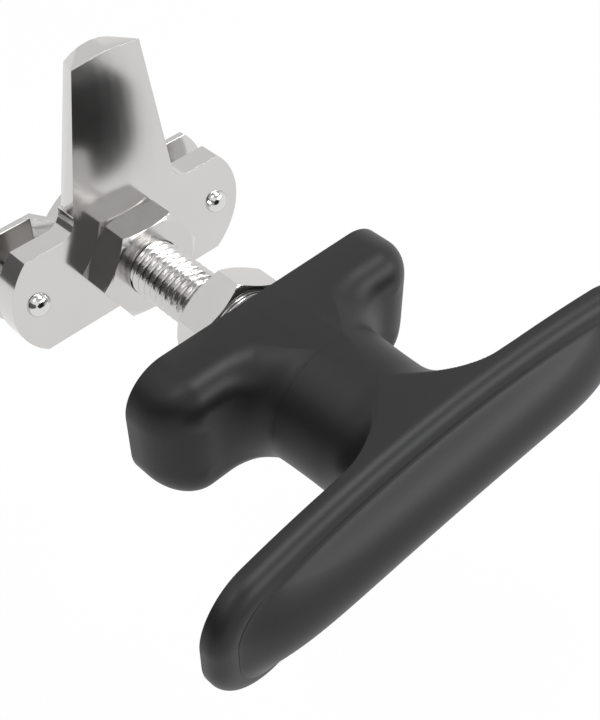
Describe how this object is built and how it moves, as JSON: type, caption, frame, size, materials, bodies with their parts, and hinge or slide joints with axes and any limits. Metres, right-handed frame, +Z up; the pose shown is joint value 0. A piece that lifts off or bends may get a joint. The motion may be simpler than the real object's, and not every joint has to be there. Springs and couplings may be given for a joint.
{
  "type": "t-handle cam latch",
  "caption": "Quarter-turn T-handle latch: black grip and escutcheon, threaded spindle with nuts, and a plated cam with a locking tongue and forked lugs for rods.",
  "frame": {"origin": "on the spindle's axis, in the escutcheon's door face", "axes": "+X to the user's right, +Y into the door along the spindle, +Z up"},
  "size_m": [0.087, 0.0889, 0.0498],
  "materials": {
    "black_moulding": "satin moulded",
    "plated_steel": "bright zinc plate",
    "cam_plating": "bright nickel plate",
    "pin_steel": "polished",
    "spring_steel": "plain",
    "black_steel": "black oxide",
    "brass": "machined",
    "acetal": "natural acetal",
    "seal_rubber": "matt"
  },
  "bodies": {
    "base": {"escutcheon": "black_moulding", "insert_left": "brass", "insert_right": "brass", "bearing_bush": "acetal", "spindle_seal": "seal_rubber", "stop_pin": "plated_steel"},
    "handle": {"grip": "black_moulding", "grip_cover": "black_moulding", "grip_screw": "black_steel", "grip_screw_washer": "plated_steel", "thrust_washer": "acetal", "spindle": "plated_steel", "disc_spring": "spring_steel", "retaining_washer": "plated_steel", "retaining_nut": "plated_steel", "cam_nut": "plated_steel", "cam_plate": "cam_plating", "cam_strap": "cam_plating", "rod_pin_left": "pin_steel", "rod_pin_right": "pin_steel", "lock_washer": "plated_steel", "rear_nut": "plated_steel"}
  },
  "joints": [
    {"name": "handle_turn", "type": "hinge", "parent": "base", "child": "handle", "pos_m": [0, 0, 0], "axis": [0, 1, 0], "range_deg": [0, 90]}
  ]
}
